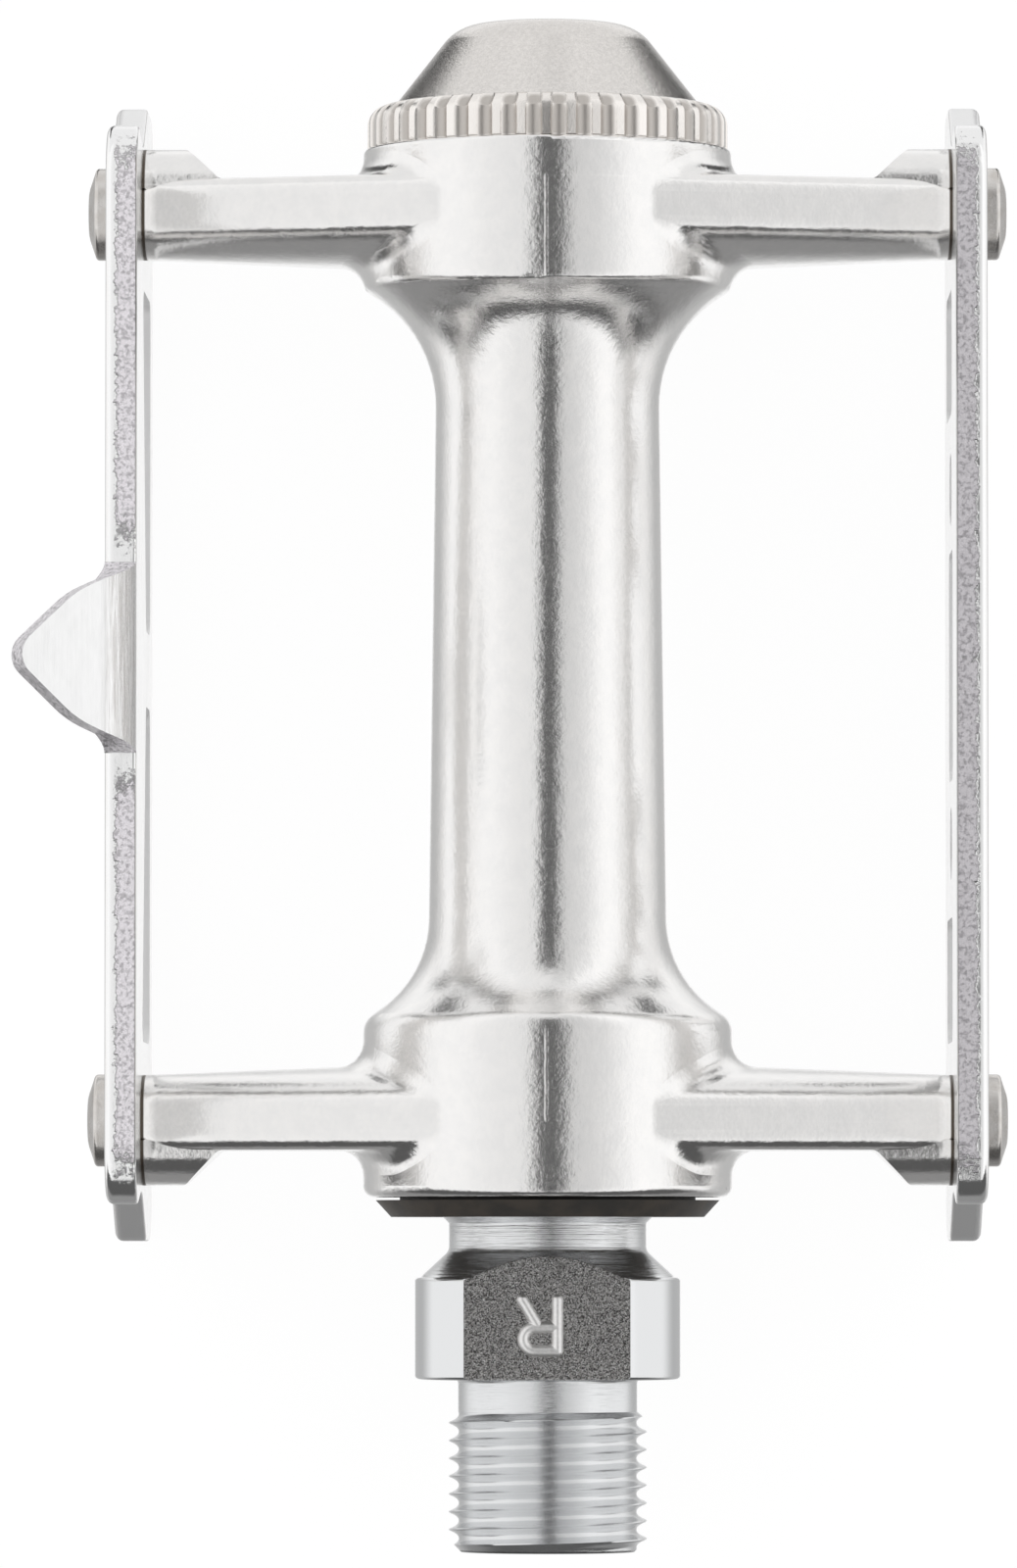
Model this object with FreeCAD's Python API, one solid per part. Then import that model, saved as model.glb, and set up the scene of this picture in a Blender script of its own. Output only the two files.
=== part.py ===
"""Track pedal, right-hand side: spindle, bearings, body, cage and dust cap.

Millimetres. The spindle lies along Y with its crank thread towards -Y and the dust cap towards +Y.
The origin is on the spindle's axis, in the face of the flange that seats on the crank. X points to
the cage plate that carries the toe clip, and Z to the side of the cage that has the flip tab.
"""

import FreeCAD, Part
import math
import os

Vector = FreeCAD.Vector

# Spindle outside the pedal
THREAD_R = 7.1
THREAD_LENGTH = 10.0
THREAD_CHAMFER = 0.9
RELIEF_R = 6.4
RELIEF_LENGTH = 2.3
FLANGE_R = 9.52
FLANGE_LENGTH = 7.3
FLANGE_EDGE = 0.3
WRENCH_ACROSS = 15.0
SHOULDER_R = 9.1
SHOULDER_RISE = 1.9
NECK_R = 7.05
NECK_LENGTH = 4.3
NECK_FILLET = 0.8

# Spindle inside the pedal
JOURNAL_R = 7.5
SHAFT_END_R = 4.7
SCREW_R = 4.0
KEYWAY_WIDTH = 1.6
KEYWAY_DEPTH = 0.9

# Bearings
BALL_D = 3.969
BALL_COUNT = 12
BALL_SPACE = 0.12
RACE_CLEARANCE = 0.05
RACE_SHOULDER = 0.35
CUP_WALL = 0.65
CUP_BACK = 1.4
CUP_LIP = 1.5
INNER_BALL_DEPTH = 5.7
OUTER_BALL_DEPTH = 5.4

# Adjusting cone, lock washer and locknut
CONE_HEAD = 2.4
CONE_NOSE = 0.6
CONE_ACROSS = 14.0
WASHER_THICKNESS = 1.0
WASHER_R = 6.2
NUT_ACROSS = 11.0
NUT_THICKNESS = 4.0
SCREW_STAND_OUT = 0.6

# Pedal body
BODY_LENGTH = 75.1
COLLAR_WALL = 2.6
INNER_COLLAR_LENGTH = 12.6
OUTER_COLLAR_LENGTH = 10.0
BARREL_WALL_CRANK_END = 2.15
BARREL_WALL_CAP_END = 1.55
INNER_FLARE_RISE = 3.3
INNER_FLARE_R = 8.0
OUTER_FLARE_RISE = 3.4
OUTER_FLARE_R = 9.4
COLLAR_SHOULDER_R = 1.6
COLLAR_EDGE_R = 0.8

# Arms of the body
ARM_END_SETBACK = 2.9
ARM_THICKNESS = 5.4
ARM_ROOT_MARGIN = 0.8
ARM_HALF_DEPTH = 5.2
ARM_ROOT_SETBACK = 2.2
ARM_FLAT = 3.1
ARM_EDGE_R = 1.4
ARM_ROOT_SINK = 0.3
ARM_BLEND_R = 1.8
LUG_HEIGHT = 2.5
LUG_ROUND = 3.2
LUG_TOP_LENGTH = 3.0
LUG_SLOPE_LENGTH = 2.5
LUG_EDGE_R = 0.7

# Cage plates
CAGE_WIDTH = 62.3
CAGE_OFFSET = 0.45
SHEET = 2.25
CAGE_HEIGHT = 28.0
PLATE_SHIFT = -0.27
NEAR_EDGE_OVERHANG = 4.35
FAR_EDGE_OVERHANG = 6.2
WAIST_OVERHANG = 2.55
WAIST_Z = 3.0
LOBE_Z = -4.5
NEAR_CORNER_R = 4.2
WAIST_R = 5.0
LOBE_R = 2.6
FAR_CORNER_R = 3.2
OUTSIDE_ROLL_R = 0.6
INSIDE_ROLL_R = 0.25
TOOTH_PITCH = 3.0
TOOTH_DEPTH = 0.9
TOOTH_ROW_START = 8.0
TOOTH_ROW_MARGIN = 5.15
WINDOW_END_MARGIN = 5.6
WINDOW_TOP_DEPTH = 10.7
WINDOW_BOTTOM_DEPTH = 23.7
WINDOW_CORNER_R = 1.5
REAR_BRIDGE = 5.4
REAR_WINDOW_CENTRE_DEPTH = 16.5
FRONT_WINDOW_START = 18.0
FRONT_MIDDLE_LENGTH = 16.4
FRONT_MIDDLE_TOP_DEPTH = 9.3
FRONT_MIDDLE_BOTTOM_DEPTH = 18.3
CLIP_HOLE_PITCH = 25.4
CLIP_HOLE_R = 2.6

# Flip tab on the rear plate
TAB_FOOT_WIDTH = 13.5
TAB_ROOT_WIDTH = 10.9
TAB_SHOULDER_WIDTH = 9.0
TAB_SHOULDER_REACH = 2.2
TAB_SHOULDER_R = 7.0
TAB_POINT_REACH = 4.9
TAB_TIP_R = 1.7
TAB_BEND = 67.0
TAB_INSIDE_R = 1.0
TAB_ANCHOR = 2.0
TAB_BEND_STEPS = 4

# Rivets
RIVET_INSET = 2.15
RIVET_HEAD_R = 3.3
RIVET_HEAD_HEIGHT = 1.75
RIVET_RIM = 1.2
RIVET_EDGE_R = 0.3
RIVET_SHANK_R = 2.0
RIVET_GRIP = 7.0

# Dust cap
CAP_STEP = 0.28
CAP_RING_HEIGHT = 3.1
CAP_RING_ROUND = 1.4
CAP_DOME_INSET = 1.9
CAP_DOME_HEIGHT = 5.9
CAP_DOME_TOP_R = 6.4
CAP_DOME_ROUND = 3.4
CAP_WALL = 1.6
CAP_SKIRT_WALL = 1.6
CAP_SKIRT_LENGTH = 3.2
FLUTE_COUNT = 45
FLUTE_R = 0.72
FLUTE_DEPTH = 0.35

# Dust seal
SEAL_LIP_THICKNESS = 1.2
SEAL_STAND_OFF = 0.2
SEAL_RIM_STEP = 0.9
SEAL_TAPER = 1.1
SEAL_HUB_LENGTH = 2.2

# Clearances
TURNING_CLEARANCE = 0.35
BORE_CLEARANCE = 0.55
SEAT_CLEARANCE = 0.02
SCREW_CLEARANCE = 0.03
RIVET_CLEARANCE = 0.03
KEY_CLEARANCE = 0.1
HOLE_BOTTOM = 0.3

# Sizes that follow from the bearings
PITCH_R = (BALL_D + BALL_SPACE) / 2 / math.sin(math.pi / BALL_COUNT)
RACE_R = BALL_D / 2 + RACE_CLEARANCE
SHAFT_R = PITCH_R - RACE_R
CONE_R = PITCH_R + RACE_SHOULDER
CUP_R = PITCH_R + RACE_R + CUP_WALL
CUP_SEAT_R = CUP_R + SEAT_CLEARANCE
BORE_R = SHAFT_R + BORE_CLEARANCE
COLLAR_R = CUP_SEAT_R + COLLAR_WALL
CAP_R = COLLAR_R - CAP_STEP
BARREL_R_CRANK_END = BORE_R + BARREL_WALL_CRANK_END
BARREL_R_CAP_END = BORE_R + BARREL_WALL_CAP_END

# Places along the spindle
SEAL_Y = FLANGE_LENGTH + NECK_LENGTH
BODY_START = SEAL_Y + SEAL_LIP_THICKNESS + SEAL_STAND_OFF
BODY_END = BODY_START + BODY_LENGTH
INNER_BALL_Y = BODY_START + INNER_BALL_DEPTH
OUTER_BALL_Y = BODY_END - OUTER_BALL_DEPTH
CAGE_Y = (BODY_START + BODY_END) / 2 + CAGE_OFFSET
CONE_END = OUTER_BALL_Y + RACE_R + CONE_HEAD
NUT_START = CONE_END + WASHER_THICKNESS
SPINDLE_END = NUT_START + NUT_THICKNESS + SCREW_STAND_OUT

# Arms and cage along the spindle, measured about the cage's middle
ARM_SPREAD = BODY_LENGTH - 2 * ARM_END_SETBACK
ARM_ROOT_THICKNESS = OUTER_COLLAR_LENGTH - ARM_END_SETBACK - ARM_ROOT_MARGIN
RIVET_PITCH = ARM_SPREAD - 2 * RIVET_INSET
NEAR_EDGE_END = ARM_SPREAD / 2 + NEAR_EDGE_OVERHANG
FAR_EDGE_END = ARM_SPREAD / 2 + FAR_EDGE_OVERHANG
WAIST_END = ARM_SPREAD / 2 + WAIST_OVERHANG
TOOTH_ROW_END = FAR_EDGE_END - TOOTH_ROW_MARGIN
WINDOW_END = RIVET_PITCH / 2 - WINDOW_END_MARGIN

# Places across the cage
OUTER_FACE = CAGE_WIDTH / 2
INNER_FACE = OUTER_FACE - SHEET
NEAR_Z = CAGE_HEIGHT / 2
FAR_Z = -CAGE_HEIGHT / 2

ORIGIN = Vector(0, 0, 0)
X_AXIS = Vector(1, 0, 0)
Y_AXIS = Vector(0, 1, 0)
Z_AXIS = Vector(0, 0, 1)


def in_xy(a, b):
    """Lay an outline's point out in the XY plane."""
    return Vector(a, b, 0)


def in_yz(a, b):
    """Lay an outline's point out in the YZ plane."""
    return Vector(0, a, b)


def rounded_face(corners, plane):
    """Make a flat face from (a, b, radius) corners, with a tangent arc at each corner that has a radius."""
    joints = []
    for i, (a, b, radius) in enumerate(corners):
        here = Vector(a, b, 0)
        after_a, after_b, _ = corners[(i + 1) % len(corners)]
        before_a, before_b, _ = corners[i - 1]
        to_before = (Vector(before_a, before_b, 0) - here).normalize()
        to_after = (Vector(after_a, after_b, 0) - here).normalize()
        if radius == 0:
            joints.append((here, None, here))
            continue
        half_angle = to_before.getAngle(to_after) / 2
        reach = radius / math.tan(half_angle)
        inward = (to_before + to_after).normalize()
        middle = here + inward * (radius / math.sin(half_angle) - radius)
        joints.append((here + to_before * reach, middle, here + to_after * reach))
    edges = []
    for i, (start, middle, end) in enumerate(joints):
        if middle is not None:
            arc_points = [plane(point.x, point.y) for point in (start, middle, end)]
            edges.append(Part.Arc(*arc_points).toShape())
        after = joints[(i + 1) % len(joints)][0]
        if (after - end).Length > 1e-6:
            edges.append(Part.LineSegment(plane(end.x, end.y), plane(after.x, after.y)).toShape())
    return Part.Face(Part.Wire(edges))


def turned(corners):
    """Turn a profile of (radius, y, corner radius) points round the spindle's axis."""
    return rounded_face(corners, in_xy).revolve(ORIGIN, Y_AXIS, 360)


def rod(radius, start, end):
    """Make a cylinder on the spindle's axis between two places along Y."""
    return Part.makeCylinder(radius, end - start, Vector(0, start, 0), Y_AXIS)


def hexagon_prism(across, start, end):
    """Make a hexagonal bar on the spindle's axis between two places along Y."""
    corner_r = across / 2 / math.cos(math.pi / 6)
    angles = [math.pi / 3 * i for i in range(6)]
    outline = [Vector(corner_r * math.cos(a), start, corner_r * math.sin(a)) for a in angles]
    return Part.Face(Part.makePolygon(outline + outline[:1])).extrude(Y_AXIS * (end - start))


def make_spindle():
    """Turn the spindle, cut its two wrench flats and the keyway of the lock washer."""
    thread_start = -RELIEF_LENGTH - THREAD_LENGTH
    race_y = INNER_BALL_Y - RACE_R
    shaft_end = OUTER_BALL_Y - RACE_R
    body = turned([
        (0, thread_start, 0),
        (THREAD_R - THREAD_CHAMFER, thread_start, 0),
        (THREAD_R, thread_start + THREAD_CHAMFER, 0),
        (THREAD_R, -RELIEF_LENGTH, 0),
        (RELIEF_R, -RELIEF_LENGTH, FLANGE_EDGE),
        (RELIEF_R, 0, FLANGE_EDGE),
        (FLANGE_R, 0, FLANGE_EDGE),
        (FLANGE_R, FLANGE_LENGTH, FLANGE_EDGE),
        (SHOULDER_R, FLANGE_LENGTH, 0),
        (NECK_R, FLANGE_LENGTH + SHOULDER_RISE, NECK_FILLET),
        (NECK_R, SEAL_Y - JOURNAL_R + NECK_R, NECK_FILLET / 4),
        (JOURNAL_R, SEAL_Y, 0),
        (JOURNAL_R, BODY_START + TURNING_CLEARANCE, FLANGE_EDGE),
        (CONE_R, BODY_START + TURNING_CLEARANCE, FLANGE_EDGE),
        (CONE_R, race_y, FLANGE_EDGE / 2),
        (SHAFT_R, race_y, RACE_R),
        (SHAFT_R, INNER_BALL_Y + RACE_R, 0),
        (SHAFT_END_R, shaft_end, 0),
        (SCREW_R, shaft_end, 0),
        (SCREW_R, SPINDLE_END, FLANGE_EDGE),
        (0, SPINDLE_END, 0),
    ])
    flats = [
        Part.makeBox(2 * FLANGE_R, SEAL_Y, FLANGE_R, Vector(-FLANGE_R, 0, z))
        for z in (WRENCH_ACROSS / 2, -WRENCH_ACROSS / 2 - FLANGE_R)
    ]
    keyway = Part.makeBox(
        KEYWAY_WIDTH,
        SPINDLE_END - CONE_END,
        SCREW_R,
        Vector(-KEYWAY_WIDTH / 2, CONE_END, SCREW_R - KEYWAY_DEPTH),
    )
    return body.cut(Part.makeCompound(flats + [keyway]))


def make_bearing_cup(ball_y, open_side):
    """Turn a bearing cup whose race opens to the open_side (1 or -1) of its balls along Y."""
    mouth = ball_y + open_side * CUP_LIP
    floor = ball_y - open_side * RACE_R
    back = floor - open_side * CUP_BACK
    race_r = PITCH_R + RACE_R
    edge = CUP_WALL / 4
    return turned([
        (CUP_R, mouth, edge),
        (CUP_R, back, edge),
        (BORE_R, back, edge),
        (BORE_R, floor, edge),
        (race_r, floor, RACE_R),
        (race_r, mouth, 0),
    ])


def make_balls(ball_y):
    """Make one bearing's ring of balls."""
    balls = []
    for i in range(BALL_COUNT):
        angle = 2 * math.pi * i / BALL_COUNT
        centre = Vector(PITCH_R * math.cos(angle), ball_y, PITCH_R * math.sin(angle))
        balls.append(Part.makeSphere(BALL_D / 2, centre))
    return balls


def make_adjusting_cone():
    """Turn the cone that closes the cap end's bearing and cut its two wrench flats."""
    race_y = OUTER_BALL_Y + RACE_R
    bore_r = SCREW_R + SCREW_CLEARANCE
    nose = OUTER_BALL_Y - CONE_NOSE
    cone = turned([
        (bore_r, nose, 0),
        (SHAFT_R, nose, FLANGE_EDGE),
        (SHAFT_R, race_y, RACE_R),
        (CONE_R, race_y, FLANGE_EDGE / 2),
        (CONE_R, CONE_END, FLANGE_EDGE),
        (bore_r, CONE_END, 0),
    ])
    flat_start = race_y + CONE_HEAD / 3
    flats = [
        Part.makeBox(2 * CONE_R, CONE_HEAD, CONE_R, Vector(-CONE_R, flat_start, z))
        for z in (CONE_ACROSS / 2, -CONE_ACROSS / 2 - CONE_R)
    ]
    return cone.cut(Part.makeCompound(flats))


def make_lock_washer():
    """Make the washer whose tongue rides in the spindle's keyway."""
    bore_r = SCREW_R + SCREW_CLEARANCE
    ring = rod(WASHER_R, CONE_END, NUT_START).cut(rod(bore_r, CONE_END, NUT_START))
    tongue_bottom = SCREW_R - KEYWAY_DEPTH + KEY_CLEARANCE
    tongue = Part.makeBox(
        KEYWAY_WIDTH - 2 * KEY_CLEARANCE,
        WASHER_THICKNESS,
        (WASHER_R + bore_r) / 2 - tongue_bottom,
        Vector(-KEYWAY_WIDTH / 2 + KEY_CLEARANCE, CONE_END, tongue_bottom),
    )
    return ring.fuse(tongue).removeSplitter()


def make_locknut():
    """Make the hexagonal locknut with its corners turned down at the outer end."""
    end = NUT_START + NUT_THICKNESS
    corner_r = NUT_ACROSS / 2 / math.cos(math.pi / 6)
    turned_down = corner_r - NUT_ACROSS / 2
    blank = turned([
        (SCREW_R + SCREW_CLEARANCE, NUT_START, 0),
        (corner_r, NUT_START, 0),
        (corner_r, end - turned_down, 0),
        (NUT_ACROSS / 2, end, 0),
        (SCREW_R + SCREW_CLEARANCE, end, 0),
    ])
    return blank.common(hexagon_prism(NUT_ACROSS, NUT_START, end))


def arm_section(x, half_depth, thickness):
    """Make an arm's D-shaped section at X: flat outside, straight flanks and a half ellipse inside."""
    outside = CAGE_Y + ARM_SPREAD / 2
    corner = ARM_EDGE_R * (1 - math.sqrt(0.5))
    flank = outside - ARM_FLAT

    def at(z, y):
        return Vector(x, y, z)

    corner_start = at(half_depth - ARM_EDGE_R, outside)
    corner_end = at(half_depth, outside - ARM_EDGE_R)
    mirror_start = at(-half_depth + ARM_EDGE_R, outside)
    mirror_end = at(-half_depth, outside - ARM_EDGE_R)
    ellipse = Part.Ellipse(at(half_depth, flank), at(0, outside - thickness), at(0, flank))
    edges = [
        Part.LineSegment(mirror_start, corner_start).toShape(),
        Part.Arc(corner_start, at(half_depth - corner, outside - corner), corner_end).toShape(),
        Part.LineSegment(corner_end, at(half_depth, flank)).toShape(),
        Part.ArcOfEllipse(ellipse, 0, math.pi).toShape(),
        Part.LineSegment(at(-half_depth, flank), mirror_end).toShape(),
        Part.Arc(mirror_end, at(-half_depth + corner, outside - corner), mirror_start).toShape(),
    ]
    return Part.Wire(edges)


def make_arm():
    """Make the arm at the cap end on the +X side, with the lug that backs its rivet."""
    root_half_depth = COLLAR_R - ARM_ROOT_SETBACK
    root_x = math.sqrt(COLLAR_R**2 - root_half_depth**2) - ARM_ROOT_SINK
    sections = [
        arm_section(root_x, root_half_depth, ARM_ROOT_THICKNESS),
        arm_section(INNER_FACE, ARM_HALF_DEPTH, ARM_THICKNESS),
    ]
    arm = Part.makeLoft(sections, True, True)
    outside = CAGE_Y + ARM_SPREAD / 2
    boss_top = in_yz(outside + LUG_HEIGHT, 0)
    boss_centre = boss_top - Y_AXIS * LUG_ROUND
    boss_side = boss_centre + Z_AXIS * ARM_HALF_DEPTH
    lug_side = rounded_face([
        (INNER_FACE, boss_centre.y, 0),
        (INNER_FACE, boss_top.y, 0),
        (INNER_FACE - LUG_TOP_LENGTH, boss_top.y, LUG_EDGE_R),
        (INNER_FACE - LUG_TOP_LENGTH - LUG_SLOPE_LENGTH, outside, LUG_EDGE_R),
        (INNER_FACE - LUG_TOP_LENGTH - 2 * LUG_SLOPE_LENGTH, outside, 0),
        (INNER_FACE - LUG_TOP_LENGTH - 2 * LUG_SLOPE_LENGTH, boss_centre.y, 0),
    ], in_xy)
    lug_side.translate(Z_AXIS * -ARM_HALF_DEPTH)
    half_ellipse = Part.ArcOfEllipse(Part.Ellipse(boss_side, boss_top, boss_centre), 0, math.pi).toShape()
    closing = Part.LineSegment(boss_centre * 2 - boss_side, boss_side).toShape()
    boss = Part.Face(Part.Wire([half_ellipse, closing])).extrude(X_AXIS * INNER_FACE)
    lug = lug_side.extrude(Z_AXIS * 2 * ARM_HALF_DEPTH).common(boss)
    return arm.fuse(lug)


def arm_roots(body):
    """Find the edges where the arms run into the collars."""
    outside = ARM_SPREAD / 2 + LUG_HEIGHT
    inside = ARM_SPREAD / 2 - ARM_ROOT_THICKNESS
    roots = []
    for edge in body.Edges:
        middle = edge.valueAt((edge.FirstParameter + edge.LastParameter) / 2)
        on_collar = abs(math.hypot(middle.x, middle.z) - COLLAR_R) < 0.01
        if on_collar and inside - 0.01 < abs(middle.y - CAGE_Y) < outside:
            roots.append(edge)
    return roots


def make_body():
    """Make the forged body: a turned barrel with two collars, four arms, bearing seats and rivet holes."""
    inner_collar_end = BODY_START + INNER_COLLAR_LENGTH
    outer_collar_start = BODY_END - OUTER_COLLAR_LENGTH
    barrel = turned([
        (0, BODY_START, 0),
        (COLLAR_R, BODY_START, COLLAR_EDGE_R),
        (COLLAR_R, inner_collar_end, COLLAR_SHOULDER_R),
        (BARREL_R_CRANK_END, inner_collar_end + INNER_FLARE_RISE, INNER_FLARE_R),
        (BARREL_R_CAP_END, outer_collar_start - OUTER_FLARE_RISE, OUTER_FLARE_R),
        (COLLAR_R, outer_collar_start, COLLAR_EDGE_R),
        (COLLAR_R, BODY_END, COLLAR_EDGE_R / 2),
        (0, BODY_END, 0),
    ])
    arm = make_arm()
    pair = [arm, arm.mirror(ORIGIN, X_AXIS)]
    arms = pair + [shape.mirror(Vector(0, CAGE_Y, 0), Y_AXIS) for shape in pair]
    body = barrel.multiFuse(arms)
    body = body.makeFillet(ARM_BLEND_R, arm_roots(body))
    inner_seat = INNER_BALL_Y + RACE_R + CUP_BACK
    outer_seat = OUTER_BALL_Y - RACE_R - CUP_BACK
    bores = [
        rod(BORE_R, BODY_START, BODY_END),
        rod(CUP_SEAT_R, BODY_START, inner_seat),
        rod(CUP_SEAT_R, outer_seat, BODY_END),
    ]
    hole_r = RIVET_SHANK_R + RIVET_CLEARANCE
    hole_length = RIVET_GRIP - SHEET + HOLE_BOTTOM
    for side in (1, -1):
        for y in rivet_places():
            mouth = Vector(side * INNER_FACE, y, 0)
            bores.append(Part.makeCylinder(hole_r, hole_length, mouth, X_AXIS * -side))
    return body.cut(Part.makeCompound(bores)).removeSplitter()


def rivet_places():
    """Give the rivets' places along Y."""
    return [CAGE_Y - RIVET_PITCH / 2, CAGE_Y + RIVET_PITCH / 2]


def plate_blank(side):
    """Cut one plate's outline from the sheet and roll its edges, before anything is pierced."""
    half = [
        (NEAR_EDGE_END, NEAR_Z, NEAR_CORNER_R),
        (WAIST_END, WAIST_Z, WAIST_R),
        (FAR_EDGE_END, LOBE_Z, LOBE_R),
        (FAR_EDGE_END, FAR_Z, FAR_CORNER_R),
    ]
    mirrored = [(-u, z, radius) for u, z, radius in reversed(half)]
    outline = [(CAGE_Y + PLATE_SHIFT + u, z, radius) for u, z, radius in half + mirrored]
    blank = rounded_face(outline, in_yz)
    blank.translate(X_AXIS * side * INNER_FACE)
    plate = blank.extrude(X_AXIS * side * SHEET)
    for x, radius in ((OUTER_FACE, OUTSIDE_ROLL_R), (INNER_FACE, INSIDE_ROLL_R)):
        edges = [e for e in plate.Edges if all(abs(v.X - side * x) < 1e-6 for v in e.Vertexes)]
        plate = plate.makeFillet(radius, edges)
    return plate


def pierce(side, corners):
    """Make the punch for a window with rounded corners, given as (u, depth below the near edge)."""
    outline = [(CAGE_Y + u, NEAR_Z - depth, WINDOW_CORNER_R) for u, depth in corners]
    punch = rounded_face(outline, in_yz)
    punch.translate(X_AXIS * side * (INNER_FACE - SHEET))
    return punch.extrude(X_AXIS * side * 3 * SHEET)


def tooth_notches(side):
    """Make the V notches that leave two rows of teeth on the far edge, where the shoe stands."""
    notches = []
    count = int((TOOTH_ROW_END - TOOTH_ROW_START) / TOOTH_PITCH)
    for row in (1, -1):
        for i in range(count):
            u = row * (TOOTH_ROW_START + (i + 0.5) * TOOTH_PITCH)
            notch = Part.Face(Part.makePolygon([
                in_yz(CAGE_Y + u - TOOTH_DEPTH, FAR_Z),
                in_yz(CAGE_Y + u, FAR_Z + TOOTH_DEPTH),
                in_yz(CAGE_Y + u + TOOTH_DEPTH, FAR_Z),
                in_yz(CAGE_Y + u - TOOTH_DEPTH, FAR_Z),
            ]))
            notch.translate(X_AXIS * side * (INNER_FACE - SHEET))
            notches.append(notch.extrude(X_AXIS * side * 3 * SHEET))
    return notches


def rivet_holes(side):
    """Make the drills for the plate's two rivet holes."""
    radius = RIVET_SHANK_R + RIVET_CLEARANCE
    return [
        Part.makeCylinder(radius, 3 * SHEET, Vector(side * (INNER_FACE - SHEET), y, 0), X_AXIS * side)
        for y in rivet_places()
    ]


def tab_bend_section(share, centre):
    """Outline the flip tab's sheet at a share of its bend, where it narrows from its foot to its root."""
    angle = math.radians(TAB_BEND) * share
    through = Vector(math.cos(angle), 0, math.sin(angle))
    half = (TAB_FOOT_WIDTH + (TAB_ROOT_WIDTH - TAB_FOOT_WIDTH) * share) / 2
    under = centre + through * TAB_INSIDE_R
    upper = under + through * SHEET
    corners = [under - Y_AXIS * half, upper - Y_AXIS * half, upper + Y_AXIS * half, under + Y_AXIS * half]
    return Part.makePolygon(corners + corners[:1])


def make_tab():
    """Bend the flip tab up and outwards from the near edge of the rear plate, its edges cut square."""
    bend = math.radians(TAB_BEND)
    along = Vector(-math.sin(bend), 0, math.cos(bend))
    through = Vector(math.cos(bend), 0, math.sin(bend))
    centre = Vector(-OUTER_FACE - TAB_INSIDE_R, CAGE_Y, NEAR_Z)
    bend_end = centre + through * TAB_INSIDE_R

    def on_under_face(reach, across):
        return bend_end + along * reach + Y_AXIS * across

    sections = [tab_bend_section(i / TAB_BEND_STEPS, centre) for i in range(TAB_BEND_STEPS + 1)]
    blade = rounded_face([
        (0, -TAB_ROOT_WIDTH / 2, 0),
        (0, TAB_ROOT_WIDTH / 2, 0),
        (TAB_SHOULDER_REACH, TAB_SHOULDER_WIDTH / 2, TAB_SHOULDER_R),
        (TAB_SHOULDER_REACH + TAB_POINT_REACH, 0, TAB_TIP_R),
        (TAB_SHOULDER_REACH, -TAB_SHOULDER_WIDTH / 2, TAB_SHOULDER_R),
    ], on_under_face)
    anchor = Part.Face(sections[0]).extrude(Z_AXIS * -TAB_ANCHOR)
    return anchor.multiFuse([Part.makeLoft(sections, True), blade.extrude(through * SHEET)])


def make_rear_plate():
    """Make the rear plate: two tapered windows either side of a bridge, teeth and the flip tab."""
    side = -1
    cutters = tooth_notches(side) + rivet_holes(side)
    for row in (1, -1):
        cutters.append(pierce(side, [
            (row * REAR_BRIDGE / 2, REAR_WINDOW_CENTRE_DEPTH),
            (row * WINDOW_END, WINDOW_TOP_DEPTH),
            (row * WINDOW_END, WINDOW_BOTTOM_DEPTH),
            (row * REAR_BRIDGE / 2, WINDOW_BOTTOM_DEPTH),
        ]))
    plate = plate_blank(side).cut(Part.makeCompound(cutters))
    return plate.fuse(make_tab()).removeSplitter()


def make_front_plate():
    """Make the front plate: three windows, with the toe clip's holes in the pads between them."""
    side = 1
    middle = FRONT_MIDDLE_LENGTH / 2
    cutters = tooth_notches(side) + rivet_holes(side)
    cutters.append(pierce(side, [
        (-middle, FRONT_MIDDLE_TOP_DEPTH),
        (middle, FRONT_MIDDLE_TOP_DEPTH),
        (middle, FRONT_MIDDLE_BOTTOM_DEPTH),
        (-middle, FRONT_MIDDLE_BOTTOM_DEPTH),
    ]))
    for row in (1, -1):
        cutters.append(pierce(side, [
            (row * FRONT_WINDOW_START, WINDOW_TOP_DEPTH),
            (row * WINDOW_END, WINDOW_TOP_DEPTH),
            (row * WINDOW_END, WINDOW_BOTTOM_DEPTH),
            (row * FRONT_WINDOW_START, WINDOW_BOTTOM_DEPTH),
        ]))
        hole = Vector(INNER_FACE - SHEET, CAGE_Y + row * CLIP_HOLE_PITCH / 2, 0)
        cutters.append(Part.makeCylinder(CLIP_HOLE_R, 3 * SHEET, hole, X_AXIS))
    return plate_blank(side).cut(Part.makeCompound(cutters))


def make_rivets():
    """Make the four rivets: a low domed head on the plate and a shank down into the arm."""
    rivet = turned([
        (0, -RIVET_GRIP, 0),
        (RIVET_SHANK_R, -RIVET_GRIP, 0),
        (RIVET_SHANK_R, 0, 0),
        (RIVET_HEAD_R, 0, 0),
        (RIVET_HEAD_R, RIVET_RIM, RIVET_EDGE_R),
        (RIVET_HEAD_R / 2, RIVET_HEAD_HEIGHT, RIVET_HEAD_R / 2),
        (0, RIVET_HEAD_HEIGHT, 0),
    ])
    rivets = []
    for side in (1, -1):
        for y in rivet_places():
            turned_out = rivet.copy()
            turned_out.rotate(ORIGIN, Z_AXIS, -90 * side)
            turned_out.translate(Vector(side * OUTER_FACE, y, 0))
            rivets.append(turned_out)
    return Part.makeCompound(rivets)


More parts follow.
